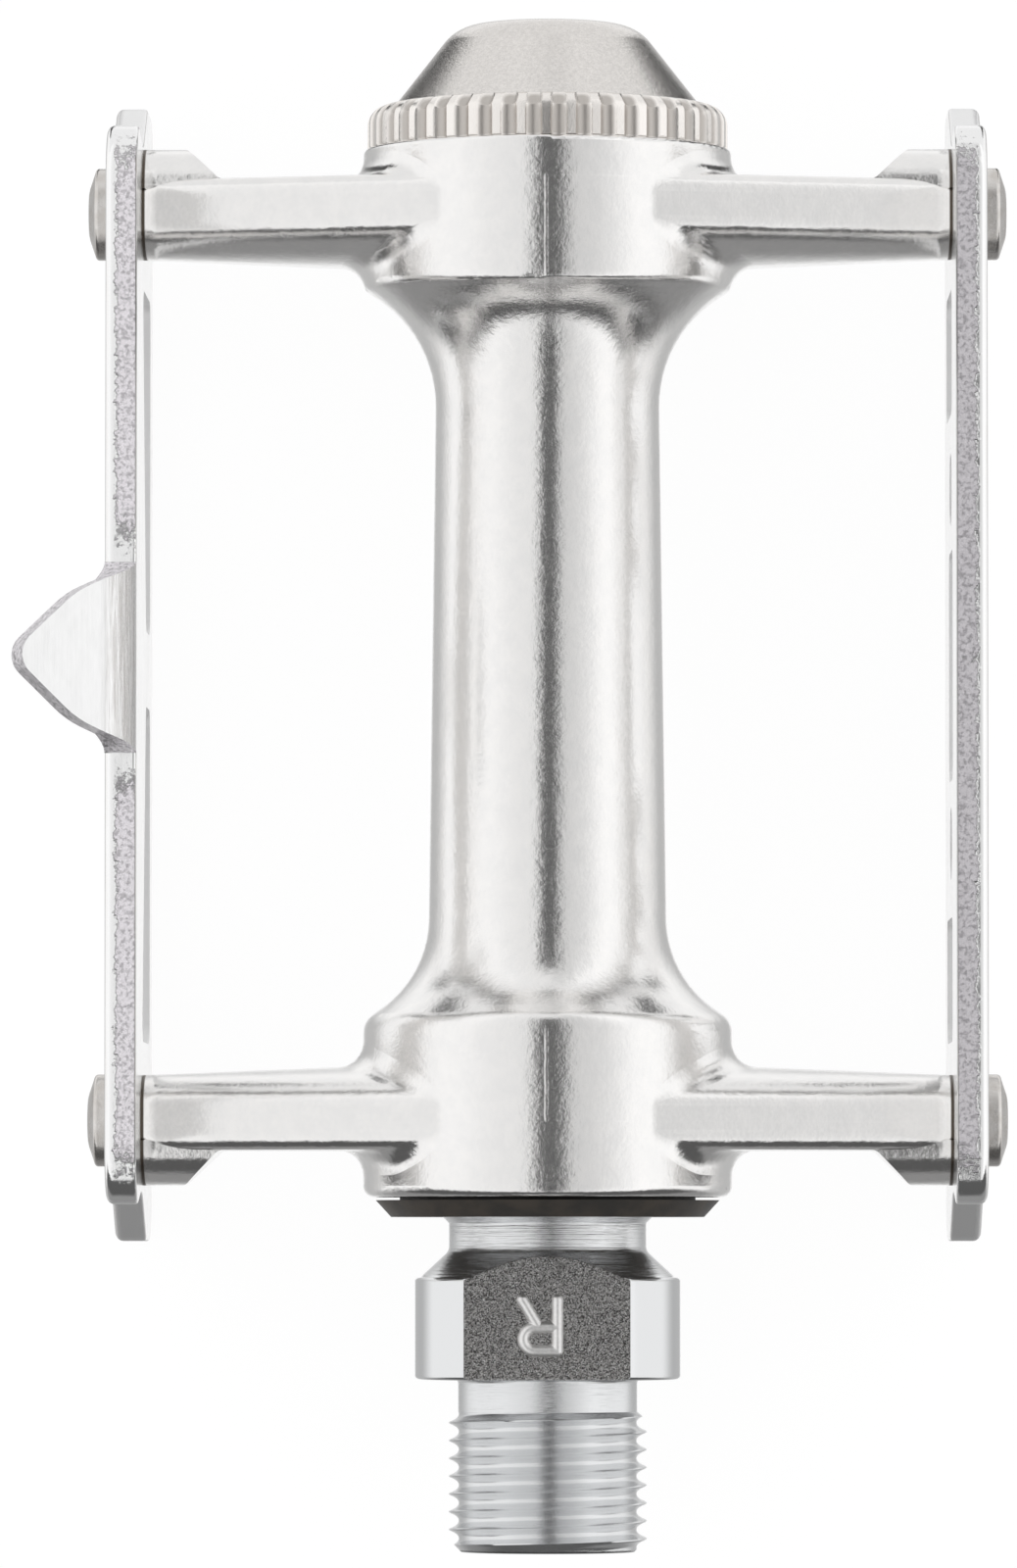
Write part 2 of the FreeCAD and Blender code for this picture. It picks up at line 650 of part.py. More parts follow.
def make_dust_cap():
    """Turn the hollow dust cap with its screwed skirt and mill the grip flutes round its ring."""
    ring_top = BODY_END + CAP_RING_HEIGHT
    dome_r = CAP_R - CAP_DOME_INSET
    dome_top = ring_top + CAP_DOME_HEIGHT
    skirt_end = BODY_END - CAP_SKIRT_LENGTH
    skirt_r = CUP_SEAT_R - SCREW_CLEARANCE
    cavity_r = skirt_r - CAP_SKIRT_WALL
    edge = FLANGE_EDGE / 2
    cap = turned([
        (cavity_r, skirt_end, 0),
        (skirt_r, skirt_end, edge),
        (skirt_r, BODY_END, 0),
        (CAP_R, BODY_END, edge),
        (CAP_R, ring_top, CAP_RING_ROUND),
        (dome_r, ring_top, 0),
        (CAP_DOME_TOP_R, dome_top, CAP_DOME_ROUND),
        (0, dome_top, 0),
        (0, dome_top - CAP_WALL, 0),
        (CAP_DOME_TOP_R - CAP_WALL / 2, dome_top - CAP_WALL, CAP_WALL),
        (cavity_r, ring_top, CAP_WALL),
    ])
    cutter_r = CAP_R - FLUTE_DEPTH + FLUTE_R
    slant = math.sqrt(0.5) * (CAP_RING_ROUND - FLUTE_DEPTH + FLUTE_R)
    slant_r = CAP_R - CAP_RING_ROUND + slant
    slant_y = ring_top - CAP_RING_ROUND + slant
    reach = CAP_RING_ROUND / 2
    cutters = []
    for i in range(FLUTE_COUNT):
        angle = 2 * math.pi * (i + 0.5) / FLUTE_COUNT
        outwards = Vector(math.sin(angle), 0, math.cos(angle))
        upright = outwards * cutter_r + Y_AXIS * BODY_END
        leaning = outwards * (slant_r + reach) + Y_AXIS * (slant_y - reach)
        cutters.append(Part.makeCylinder(FLUTE_R, CAP_RING_HEIGHT, upright, Y_AXIS))
        cutters.append(Part.makeCylinder(FLUTE_R, math.sqrt(8) * reach, leaning, Y_AXIS - outwards))
    return cap.cut(Part.makeCompound(cutters))


def make_dust_seal():
    """Turn the tapered dust seal, whose hub is pressed into the body's crank end."""
    rim_r = COLLAR_R - SEAL_RIM_STEP
    lip_end = SEAL_Y + SEAL_LIP_THICKNESS
    hub_r = CUP_SEAT_R - SEAT_CLEARANCE
    return turned([
        (JOURNAL_R + TURNING_CLEARANCE, SEAL_Y, 0),
        (rim_r - SEAL_TAPER, SEAL_Y, 0),
        (rim_r, lip_end, 0),
        (hub_r, lip_end, 0),
        (hub_r, BODY_START + SEAL_HUB_LENGTH, 0),
        (CONE_R + TURNING_CLEARANCE, BODY_START + SEAL_HUB_LENGTH, 0),
        (CONE_R + TURNING_CLEARANCE, lip_end, 0),
        (JOURNAL_R + TURNING_CLEARANCE, lip_end, 0),
    ])


def make_pieces():
    """Make every piece and give them by name."""
    pieces = {
        "spindle": make_spindle(),
        "pedal_body": make_body(),
        "rear_cage_plate": make_rear_plate(),
        "front_cage_plate": make_front_plate(),
        "cage_rivets": make_rivets(),
        "dust_cap": make_dust_cap(),
        "dust_seal": make_dust_seal(),
        "inner_bearing_cup": make_bearing_cup(INNER_BALL_Y, -1),
        "outer_bearing_cup": make_bearing_cup(OUTER_BALL_Y, 1),
        "adjusting_cone": make_adjusting_cone(),
        "lock_washer": make_lock_washer(),
        "locknut": make_locknut(),
    }
    for row, ball_y in (("inner", INNER_BALL_Y), ("outer", OUTER_BALL_Y)):
        for number, ball in enumerate(make_balls(ball_y), start=1):
            pieces[f"{row}_ball_{number:02d}"] = ball
    return pieces


os.makedirs("parts", exist_ok=True)
for name, shape in make_pieces().items():
    shape.exportStep(f"parts/{name}.step")
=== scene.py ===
"""Track pedal: finishes, threaded spindle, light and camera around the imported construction.

Metres in the construction's frame: the spindle lies along Y with its crank thread towards -Y, and
the camera looks down -Z on the side of the cage that carries the flip tab. Sizes in the classes are
in millimetres and are turned into metres where a mesh or a shader takes them.
"""

import logging
import math
from dataclasses import dataclass
from enum import Enum
from typing import Optional, Sequence, Union

import bpy
from mathutils import Matrix, Vector


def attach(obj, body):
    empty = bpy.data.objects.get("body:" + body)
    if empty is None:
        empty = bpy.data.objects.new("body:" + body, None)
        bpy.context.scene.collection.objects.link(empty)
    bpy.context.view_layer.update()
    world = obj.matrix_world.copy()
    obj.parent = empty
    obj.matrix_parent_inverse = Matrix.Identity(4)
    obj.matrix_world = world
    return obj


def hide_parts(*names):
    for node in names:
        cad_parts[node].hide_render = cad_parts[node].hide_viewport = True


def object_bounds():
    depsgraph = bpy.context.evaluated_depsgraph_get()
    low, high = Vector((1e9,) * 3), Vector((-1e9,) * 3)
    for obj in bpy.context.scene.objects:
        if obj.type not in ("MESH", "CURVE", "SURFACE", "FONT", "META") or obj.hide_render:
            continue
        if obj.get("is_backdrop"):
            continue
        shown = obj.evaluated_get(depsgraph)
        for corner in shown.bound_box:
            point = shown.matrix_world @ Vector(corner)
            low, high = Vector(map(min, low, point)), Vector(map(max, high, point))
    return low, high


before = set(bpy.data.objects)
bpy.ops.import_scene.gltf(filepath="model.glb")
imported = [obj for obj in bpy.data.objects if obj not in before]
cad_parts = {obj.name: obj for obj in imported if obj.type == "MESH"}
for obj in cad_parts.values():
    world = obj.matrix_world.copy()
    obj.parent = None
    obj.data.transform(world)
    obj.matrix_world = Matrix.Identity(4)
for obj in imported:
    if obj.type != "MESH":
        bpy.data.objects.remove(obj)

MM = 0.001
TONES = (0.3, 0.7)  # the part of a noise's range that two tones are spread over
log = logging.getLogger("track_pedal")

Colour = tuple[float, float, float, float]
Point = tuple[float, float, float]
Span = tuple[float, float]
Face = tuple[int, ...]
Number = Union["Value", float]


def grey(level: float, warmth: float = 0.0) -> Colour:
    """Make an opaque grey of a linear level, warmer for a positive warmth."""
    return (level * (1 + warmth), level, level * (1 - warmth), 1.0)


class Slot(Enum):
    """The material slots."""

    SPINDLE = "spindle_steel"
    BODY = "body_aluminium"
    CAGE = "cage_aluminium"
    CAP = "cap_aluminium"
    RIVET = "rivet_steel"
    BEARING = "bearing_steel"
    SEAL = "seal_rubber"


class Body(Enum):
    """The construction's moving bodies that take the scene's own pieces."""

    SPINDLE = "spindle"


@dataclass(frozen=True)
class Grain:
    """A noise: its lumps in a millimetre, how many finer layers it has and how strong they are."""

    per_mm: float
    layers: float = 3.0
    strength: float = 0.6


class Value:
    """A shader socket that takes part in ordinary arithmetic."""

    def __init__(self, graph: "Graph", socket: bpy.types.NodeSocket) -> None:
        """Keep the socket and the graph that it belongs to."""
        self.graph = graph
        self.socket = socket

    def part(self, name: str) -> "Value":
        """Give another output of the same node."""
        return Value(self.graph, self.socket.node.outputs[name])

    def math(self, operation: str, first: Number, second: Number = 0.0) -> "Value":
        """Add a Math node for two operands and give its result."""
        return self.graph.node("ShaderNodeMath", {"operation": operation}, {0: first, 1: second})

    def __add__(self, other: Number) -> "Value":
        """Add a number."""
        return self.math("ADD", self, other)

    def __radd__(self, other: Number) -> "Value":
        """Add to a number."""
        return self.math("ADD", other, self)

    def __sub__(self, other: Number) -> "Value":
        """Take a number away."""
        return self.math("SUBTRACT", self, other)

    def __rsub__(self, other: Number) -> "Value":
        """Take this away from a number."""
        return self.math("SUBTRACT", other, self)

    def __mul__(self, other: Number) -> "Value":
        """Multiply by a number."""
        return self.math("MULTIPLY", self, other)

    def __rmul__(self, other: Number) -> "Value":
        """Multiply a number."""
        return self.math("MULTIPLY", other, self)

    def __pow__(self, other: Number) -> "Value":
        """Raise to a power."""
        return self.math("POWER", self, other)

    def __neg__(self) -> "Value":
        """Change the sign."""
        return self.math("MULTIPLY", self, -1.0)

    def __abs__(self) -> "Value":
        """Drop the sign."""
        return self.math("ABSOLUTE", self)

    def most(self, other: Number) -> "Value":
        """Give the larger of two."""
        return self.math("MAXIMUM", self, other)

    def ramp(self, low: float, high: float) -> "Value":
        """Rise smoothly from 0 at low to 1 at high.

        Args:
            low: The value where the rise starts.
            high: The value where it ends.

        Returns:
            The eased step, held within 0 and 1.
        """
        return self.graph.node(
            "ShaderNodeMapRange",
            {"interpolation_type": "SMOOTHSTEP", "clamp": True},
            {"Value": self, "From Min": low, "From Max": high},
        )


class Graph:
    """The nodes of one material or of the world."""

    def __init__(self, tree: bpy.types.NodeTree) -> None:
        """Start from an empty tree."""
        self.tree = tree
        tree.nodes.clear()

    def node(self, kind: str, settings: dict, inputs: dict, output: Union[str, int] = 0) -> Value:
        """Add one node, with its settings first and its sockets after.

        Args:
            kind: The node's type name.
            settings: Properties of the node, by name.
            inputs: Values or plain numbers for its sockets, by name or place.
            output: The output that is wanted.

        Returns:
            The output as a Value.
        """
        made = self.tree.nodes.new(kind)
        for name, setting in settings.items():
            setattr(made, name, setting)
        for key, value in inputs.items():
            if isinstance(value, Value):
                self.tree.links.new(value.socket, made.inputs[key])
            else:
                made.inputs[key].default_value = value
        return Value(self, made.outputs[output] if len(made.outputs) else made.inputs[0])

    def stretch(self, vector: Value, shares: Point) -> Value:
        """Scale a vector along each axis."""
        return self.node("ShaderNodeVectorMath", {"operation": "MULTIPLY"}, {0: vector, 1: shares})

    def place(self) -> Value:
        """Give the place on the piece in millimetres."""
        spot = self.node("ShaderNodeTexCoord", {}, {}, "Object")
        return self.stretch(spot, (1 / MM, 1 / MM, 1 / MM))

    def axes(self, vector: Value) -> tuple[Value, Value, Value]:
        """Split a vector into its three numbers."""
        x = self.node("ShaderNodeSeparateXYZ", {}, {0: vector}, "X")
        return x, x.part("Y"), x.part("Z")

    def facing(self) -> tuple[Value, Value, Value]:
        """Give the surface's direction in the piece's own axes."""
        return self.axes(self.node("ShaderNodeTexCoord", {}, {}, "Normal"))

    def seen(self) -> Value:
        """Give 1 for what the camera sees itself, and 0 for what lights or is reflected."""
        return self.node("ShaderNodeLightPath", {}, {}, "Is Camera Ray")

    def noise(self, place: Value, grain: Grain) -> Value:
        """Make noise over a place in millimetres.

        Args:
            place: The place it varies over.
            grain: Its fineness and layers.

        Returns:
            Noise about 0.5.
        """
        return self.node(
            "ShaderNodeTexNoise",
            {},
            {"Vector": place, "Scale": grain.per_mm, "Detail": grain.layers, "Roughness": grain.strength},
        )

    def blend(self, factor: Number, first: Union[Value, Colour], second: Union[Value, Colour]) -> Value:
        """Mix two colours by a factor."""
        return self.node("ShaderNodeMix", {"data_type": "RGBA"}, {0: factor, 6: first, 7: second}, 2)

    def bump(self, height: Value, depth_mm: float, under: Optional[Value] = None) -> Value:
        """Turn a height from 0 to 1 into a surface direction.

        Args:
            height: The height over the surface.
            depth_mm: What a height of 1 stands for.
            under: A bump that this one lies on.

        Returns:
            The direction for a Normal socket.
        """
        inputs = {"Height": height, "Distance": depth_mm * MM, "Strength": 1.0}
        if under is not None:
            inputs["Normal"] = under
        return self.node("ShaderNodeBump", {}, inputs)

    def glow(self, colour: Union[Value, Colour]) -> Value:
        """Give a shader that shines with a colour at strength 1."""
        return self.node("ShaderNodeEmission", {}, {"Color": colour, "Strength": 1.0})


@dataclass(frozen=True)
class Finish:
    """A surface finish: a name and how its shader is put together."""

    name: str

    def shade(self, graph: Graph) -> dict:
        """Give the surface's sockets.

        Args:
            graph: The material's nodes.

        Returns:
            Values for the Principled sockets, by name.
        """
        raise NotImplementedError

    def surface(self, graph: Graph) -> Value:
        """Give the shader of the whole surface."""
        return graph.node("ShaderNodeBsdfPrincipled", {}, self.shade(graph))

    def material(self) -> bpy.types.Material:
        """Build the material.

        Returns:
            The new material.
        """
        made = bpy.data.materials.new(self.name)
        made.use_nodes = True
        graph = Graph(made.node_tree)
        graph.node("ShaderNodeOutputMaterial", {}, {"Surface": self.surface(graph)})
        return made


@dataclass(frozen=True)
class ForgedAluminium(Finish):
    """Bright tumbled forging: fine grain over a polished skin, with the dies' parting ridge."""

    level: float = 0.92
    dim: float = 0.95
    tints: Span = (0.008, 0.013)
    rough: float = 0.1
    grain: Grain = Grain(3.4, 4.0, 0.65)
    grain_depth: float = 0.017
    grain_rough: float = 0.08
    grain_span: Span = (0.35, 0.75)
    swell: Grain = Grain(0.7, 2.0, 0.5)
    swell_depth: float = 0.025
    swell_share: float = 0.5
    ridge_half: float = 0.2
    ridge_height: float = 0.012
    ridge_low: float = 25.4
    ridge_high: float = 76.5
    ridge_fade: float = 1.0
    turned_low: float = 18.3
    turned_high: float = 85.2
    turned_fade: float = 0.1
    step_height: float = 0.03
    arm_end: float = 28.9
    end_round: float = 1.1
    end_depth: float = 0.4
    # Painted shadow: a dark brown line where the arm ends meet the cage plates, a little rougher there too.
    joint_shadow_start: float = 0.24
    joint_shadow_full: float = 0.12
    joint_shadow_rough: float = 0.3
    joint_shadow_colour: Colour = grey(0.1, 0.2)

    def shade(self, graph: Graph) -> dict:
        """Give the surface's sockets.

        Args:
            graph: The material's nodes.

        Returns:
            Values for the Principled sockets, by name.
        """
        place = graph.place()
        x, y, _ = graph.axes(place)
        fade = self.turned_fade
        forged = y.ramp(self.turned_low - fade, self.turned_low + fade)
        forged = forged * (1 - y.ramp(self.turned_high - fade, self.turned_high + fade))
        on_collars = 1 - y.ramp(self.ridge_low - self.ridge_fade, self.ridge_low)
        on_collars = on_collars + y.ramp(self.ridge_high, self.ridge_high + self.ridge_fade)
        grain = graph.noise(place, self.grain)
        swell = graph.noise(place, self.swell)
        ridge = (1 - abs(x).ramp(0.0, self.ridge_half)) * forged * on_collars
        before_end = 1 - abs(x).ramp(self.arm_end - self.end_round, self.arm_end + self.end_round)
        normal = graph.bump(swell, self.swell_depth)
        normal = graph.bump(grain, self.grain_depth, normal)
        normal = graph.bump(ridge, self.ridge_height, normal)
        normal = graph.bump(forged, self.step_height, normal)
        normal = graph.bump(before_end, self.end_depth, normal)
        tone = (grain * (1 - self.swell_share) + swell * self.swell_share).ramp(*TONES)
        skin = graph.blend(tone, grey(self.level * self.dim, self.tints[0]), grey(self.level, self.tints[1]))
        # Painted shadow in the gap between each arm end and its cage plate.
        joint_shadow = abs(x).ramp(self.arm_end - self.joint_shadow_start, self.arm_end - self.joint_shadow_full)
        return {
            "Base Color": graph.blend(joint_shadow, skin, self.joint_shadow_colour),
            "Metallic": 1.0,
            "Roughness": self.rough + self.grain_rough * grain.ramp(*self.grain_span) + joint_shadow * self.joint_shadow_rough,
            "Normal": normal,
        }


@dataclass(frozen=True)
class StampedSheet(Finish):
    """Polished sheet with stamped edges: a burnished band by the outer face and torn metal behind it."""

    outer_face: float = 31.15
    near_edge: float = 14.0
    cage_y: float = 51.0
    tab_bend: float = 67.0
    tab_inside: float = 1.0
    tab_start: Span = (0.02, 0.06)
    tab_dish: float = 0.1
    tab_torn: float = 0.9
    past_bend: Span = (-0.05, 0.05)
    bent_reach: Span = (-0.6, 0.5)
    tip_reach: Span = (0.5, 1.0)
    edge_tilt: Span = (0.5, 0.8)
    side_tilt: Span = (0.4, 0.6)
    smooth_half: float = 9.5
    smooth_fade: float = 1.5
    torn_half: float = 35.2
    torn_fade: float = 1.0
    torn_stray: float = 8.0
    rim: float = 11.0
    rim_fade: float = 0.5
    burnished: float = 0.66
    tear: float = 0.26
    tear_stray: float = 1.2
    lip_gain: float = 4.0
    pit_span: Span = (0.44, 0.66)
    pit_share: float = 0.7
    pit_dim: float = 0.42
    level: float = 0.96
    torn_level: float = 0.98
    torn_tint: Point = (1.0, 0.965, 1.005)
    drawn_dim: float = 0.95
    drawn_tint: float = 0.01
    bent_dim: float = 0.72
    bent_tint: float = 0.02
    speck: Grain = Grain(2.2, 5.0, 0.7)
    fine: Grain = Grain(7.0)
    streak: Grain = Grain(4.0, 3.0, 0.7)
    streak_shares: Point = (1.0, 0.04, 1.0)
    grit: Grain = Grain(3.2, 4.0)
    grit_share: float = 0.5
    wander: Grain = Grain(1.5)
    dent: Grain = Grain(0.5, 2.0, 0.5)
    dent_depth: float = 0.03
    fine_depth: float = 0.004
    streak_depth: float = 0.004
    bent_depth: float = 0.05
    torn_depth: float = 0.2
    rough: float = 0.08
    fine_rough: float = 0.05
    drawn_rough: float = 0.1
    window_rough: float = 0.4
    torn_rough: float = 0.16
    bent_rough: float = 0.1

    def torn_grey(self, level: float) -> Colour:
        """Make the faintly violet grey of torn metal."""
        return (*(level * share for share in self.torn_tint), 1.0)

    def tab_depth(self, x: Value, z: Value) -> tuple[Value, Value]:
        """Find where a spot lies in the flip tab.

        Args:
            x: The spot's X in millimetres.
            z: The spot's Z in millimetres.

        Returns:
            The depth from the tab's under face and the reach from the end of its bend.
        """
        bend = math.radians(self.tab_bend)
        centre_x = -self.outer_face - self.tab_inside
        from_x = x - centre_x
        from_z = z - self.near_edge
        reach = from_z * math.cos(bend) - from_x * math.sin(bend)
        through = from_x * math.cos(bend) + from_z * math.sin(bend)
        round_bend = (from_x * from_x + from_z * from_z) ** 0.5
        past = reach.ramp(*self.past_bend)
        depth = through * past + round_bend * (1 - past) - self.tab_inside
        return depth, reach

    def shade(self, graph: Graph) -> dict:
        """Give the surface's sockets.

        Args:
            graph: The material's nodes.

        Returns:
            Values for the Principled sockets, by name.
        """
        bend = math.radians(self.tab_bend)
        place = graph.place()
        x, y, z = graph.axes(place)
        side_x, side_y, side_z = graph.facing()
        tab = z.ramp(self.near_edge + self.tab_start[0], self.near_edge + self.tab_start[1])
        tab_depth, reach = self.tab_depth(x, z)
        depth = (self.outer_face - abs(x)) * (1 - tab) + tab_depth * tab
        plate_edge = 1 - abs(side_x).ramp(*self.edge_tilt)
        outwards = side_z * math.cos(bend) - side_x * math.sin(bend)
        tip = outwards.ramp(*self.edge_tilt) * reach.ramp(*self.tip_reach)
        tab_edge = abs(side_y).ramp(*self.side_tilt).most(tip)
        edge = plate_edge * (1 - tab) + tab_edge * tab
        speck = graph.noise(place, self.speck)
        fine = graph.noise(place, self.fine)
        streak = graph.noise(graph.stretch(place, self.streak_shares), self.streak)
        grit = graph.noise(place, self.grit)
        wander = depth + (graph.noise(place, self.wander) - 0.5) * self.tear_stray
        from_tab = abs(y - self.cage_y) + (speck - 0.5) * self.torn_stray
        torn = wander.ramp(self.burnished, self.burnished + self.tear) * edge
        torn = torn * from_tab.ramp(self.smooth_half - self.smooth_fade, self.smooth_half)
        torn = torn * (1 - from_tab.ramp(self.torn_half, self.torn_half + self.torn_fade))
        on_rim = abs(z).ramp(self.rim - self.rim_fade, self.rim + self.rim_fade)
        window = edge * (1 - on_rim)
        torn = torn * on_rim
        lip = torn * (1 - torn) * self.lip_gain
        torn = torn.most(tab_edge * tab * self.tab_torn)
        pits = grit.ramp(*self.pit_span) * torn * (self.pit_share + (1 - self.pit_share) * tab)
        pits = pits.most(lip)
        bent = tab * (1 - tab_edge) * (1 - reach.ramp(*self.bent_reach))
        drawn = streak.ramp(*TONES)
        normal = graph.bump(graph.noise(place, self.dent), self.dent_depth)
        normal = graph.bump(fine, self.fine_depth, normal)
        normal = graph.bump(streak, self.streak_depth, normal)
        normal = graph.bump(streak * bent, self.bent_depth, normal)
        normal = graph.bump(reach * tab * (1 - tab_edge), self.tab_dish, normal)
        normal = graph.bump((speck + grit * self.grit_share) * torn, self.torn_depth, normal)
        worn = graph.blend(pits, self.torn_grey(self.torn_level), self.torn_grey(self.torn_level * self.pit_dim))
        drawn_grey = grey(self.level * self.drawn_dim, self.drawn_tint)
        face = graph.blend((1 - edge) * (1 - tab) * drawn, grey(self.level), drawn_grey)
        smooth = graph.blend(bent * drawn, face, grey(self.level * self.bent_dim, self.bent_tint))
        rough = self.rough + self.fine_rough * fine + (1 - edge) * drawn * self.drawn_rough
        rough = rough + window * self.window_rough + torn * self.torn_rough + bent * self.bent_rough
        return {
            "Base Color": graph.blend(torn, smooth, worn),
            "Metallic": 1.0,
            "Roughness": rough,
            "Normal": normal,
        }


@dataclass(frozen=True)
class TurnedChrome(Finish):
    """Chromed steel: turning lines on the round parts and a coarse forged skin on the wrench flats."""

    flat: float = 7.5
    flat_under: Span = (0.05, 0.02)
    flat_start: Span = (0.0, 0.1)
    flat_end: Span = (9.6, 9.8)
    neck_start: Span = (7.3, 7.5)
    thread_end: Span = (-2.4, -2.3)
    relief_end: Span = (-0.2, 0.0)
    level: float = 0.8
    tint: float = -0.01
    lines: Grain = Grain(7.0, 3.0, 0.7)
    lines_shares: Point = (0.02, 1.0, 0.02)
    lines_depth: float = 0.045
    thread_lines: float = 0.4
    ripple: Grain = Grain(6.0, 2.0, 0.5)
    ripple_depth: float = 0.003
    coarse: Grain = Grain(11.0, 2.0)
    coarse_depth: float = 0.06
    coarse_span: Span = (0.38, 0.64)
    coarse_levels: Span = (0.05, 0.42)
    coarse_tint: float = 0.02
    sparkle: Grain = Grain(17.0, 1.0, 0.5)
    sparkle_span: Span = (0.62, 0.72)
    sparkle_level: float = 0.9
    rough: float = 0.09
    coarse_rough: float = 0.05
    flat_rough: float = 0.36
    turned_rough: float = 0.12
    thread_rough: float = 0.13

    def shade(self, graph: Graph) -> dict:
        """Give the surface's sockets.

        Args:
            graph: The material's nodes.

        Returns:
            Values for the Principled sockets, by name.
        """
        place = graph.place()
        _, y, z = graph.axes(place)
        on_flat = abs(z).ramp(self.flat - self.flat_under[0], self.flat - self.flat_under[1])
        on_flat = on_flat * y.ramp(*self.flat_start) * (1 - y.ramp(*self.flat_end))
        coarse = graph.noise(place, self.coarse)
        lines = graph.noise(graph.stretch(place, self.lines_shares), self.lines)
        threaded = 1 - y.ramp(*self.thread_end)
        relief = (1 - y.ramp(*self.relief_end)) * (1 - threaded)
        turned = y.ramp(*self.neck_start).most(relief) * (1 - on_flat)
        normal = graph.bump(graph.noise(place, self.ripple), self.ripple_depth)
        normal = graph.bump(lines * (turned + threaded * self.thread_lines), self.lines_depth, normal)
        normal = graph.bump(coarse * on_flat, self.coarse_depth, normal)
        dark, light = (grey(level, self.coarse_tint) for level in self.coarse_levels)
        skin = graph.blend(coarse.ramp(*self.coarse_span), dark, light)
        sparkle = graph.noise(place, self.sparkle).ramp(*self.sparkle_span)
        skin = graph.blend(sparkle, skin, grey(self.sparkle_level))
        rough = self.rough + self.coarse_rough * coarse + on_flat * self.flat_rough
        return {
            "Base Color": graph.blend(on_flat, grey(self.level, self.tint), skin),
            "Metallic": 1.0,
            "Roughness": rough + turned * self.turned_rough + threaded * self.thread_rough,
            "Normal": normal,
        }


@dataclass(frozen=True)
class RaisedSkin(Finish):
    """The coarse forged skin of the raised side mark."""

    coarse: Grain = Grain(4.0, 4.0, 0.65)
    coarse_depth: float = 0.015
    dull: Colour = grey(0.8, 0.01)
    bright: Colour = grey(0.9, 0.01)
    rough: float = 0.32
    coarse_rough: float = 0.14

    def shade(self, graph: Graph) -> dict:
        """Give the surface's sockets.

        Args:
            graph: The material's nodes.

        Returns:
            Values for the Principled sockets, by name.
        """
        coarse = graph.noise(graph.place(), self.coarse)
        return {
            "Base Color": graph.blend(coarse.ramp(*TONES), self.dull, self.bright),
            "Metallic": 1.0,
            "Roughness": self.rough + self.coarse_rough * coarse,
            "Normal": graph.bump(coarse, self.coarse_depth),
        }


@dataclass(frozen=True)
class SatinTurning(Finish):
    """Blasted and turned aluminium of the dust cap, with matter grip flutes round its ring: painted shade in their
    hollows and a painted highlight on their ridges.
    """

    ring_start: float = 88.1
    ring_end: float = 91.2
    ring_fade: float = 0.1
    ring_round: float = 1.4
    ring_r: float = 12.92
    ring_inside: Span = (11.0, 11.2)
    flute_depth: float = 0.35
    flute_span: Span = (0.8, 0.1)
    level: float = 0.83
    dim: float = 0.84
    tint: float = 0.035
    # Painted highlight on the flutes' ridges and painted shade deep in their hollows.
    ridge_highlight_colour: Colour = grey(0.9, 0.04)
    hollow_shade_colour: Colour = grey(0.54, 0.06)
    lines: Grain = Grain(5.0, 3.0, 0.7)
    lines_shares: Point = (0.0, 1.0, 0.0)
    lines_depth: float = 0.006
    fine: Grain = Grain(9.0)
    fine_depth: float = 0.01
    mottle: Grain = Grain(3.0, 4.0, 0.65)
    mottle_depth: float = 0.016
    mottle_share: float = 0.5
    mottle_span: Span = (0.35, 0.65)
    rough: float = 0.18
    fine_rough: float = 0.08
    hollow_rough: float = 0.18

    def shade(self, graph: Graph) -> dict:
        """Give the surface's sockets.

        Args:
            graph: The material's nodes.

        Returns:
            Values for the Principled sockets, by name.
        """
        place = graph.place()
        x, y, z = graph.axes(place)
        radius = (x * x + z * z) ** 0.5
        ring = y.ramp(self.ring_start, self.ring_start + self.ring_fade)
        ring = ring * (1 - y.ramp(self.ring_end - self.ring_fade, self.ring_end))
        ring = ring * radius.ramp(*self.ring_inside)
        round_start = self.ring_end - self.ring_round
        out = radius - self.ring_r + self.ring_round
        up = y.most(round_start) - round_start
        height = (out * out + up * up) ** 0.5 - self.ring_round
        deep, shallow = (-self.flute_depth * share for share in self.flute_span)
        hollow = ring * (1 - height.ramp(deep, shallow))
        lines = graph.noise(graph.stretch(place, self.lines_shares), self.lines)
        fine = graph.noise(place, self.fine)
        mottle = graph.noise(place, self.mottle)
        normal = graph.bump(lines, self.lines_depth)
        normal = graph.bump(fine, self.fine_depth, normal)
        normal = graph.bump(mottle, self.mottle_depth, normal)
        tone = (fine * (1 - self.mottle_share) + mottle * self.mottle_share).ramp(*self.mottle_span)
        dome = graph.blend(tone, grey(self.level * self.dim, self.tint), grey(self.level, self.tint))
        # Painted shade: the flutes' colour darkens with depth in their hollows, with a lighter painted highlight on
        # the ridges.
        grip = graph.blend(hollow, self.ridge_highlight_colour, self.hollow_shade_colour)
        return {
            "Base Color": graph.blend(ring, dome, grip),
            "Metallic": 1.0,
            "Roughness": self.rough + self.fine_rough * fine + hollow * self.hollow_rough,
            "Normal": normal,
        }


@dataclass(frozen=True)
class NickelHead(Finish):
    """Warm nickel plate on the rivets' domed heads."""

    fine: Grain = Grain(5.0, 4.0)
    fine_depth: float = 0.01
    cloud: Grain = Grain(0.9, 2.0, 0.5)
    dull: Colour = grey(0.62, 0.05)
    bright: Colour = grey(0.72, 0.03)
    rough: float = 0.18
    fine_rough: float = 0.14

    def shade(self, graph: Graph) -> dict:
        """Give the surface's sockets.

        Args:
            graph: The material's nodes.

        Returns:
            Values for the Principled sockets, by name.
        """
        place = graph.place()
        fine = graph.noise(place, self.fine)
        cloud = graph.noise(place, self.cloud)
        return {
            "Base Color": graph.blend(cloud.ramp(*TONES), self.dull, self.bright),
            "Metallic": 1.0,
            "Roughness": self.rough + self.fine_rough * fine,
            "Normal": graph.bump(fine, self.fine_depth),
        }


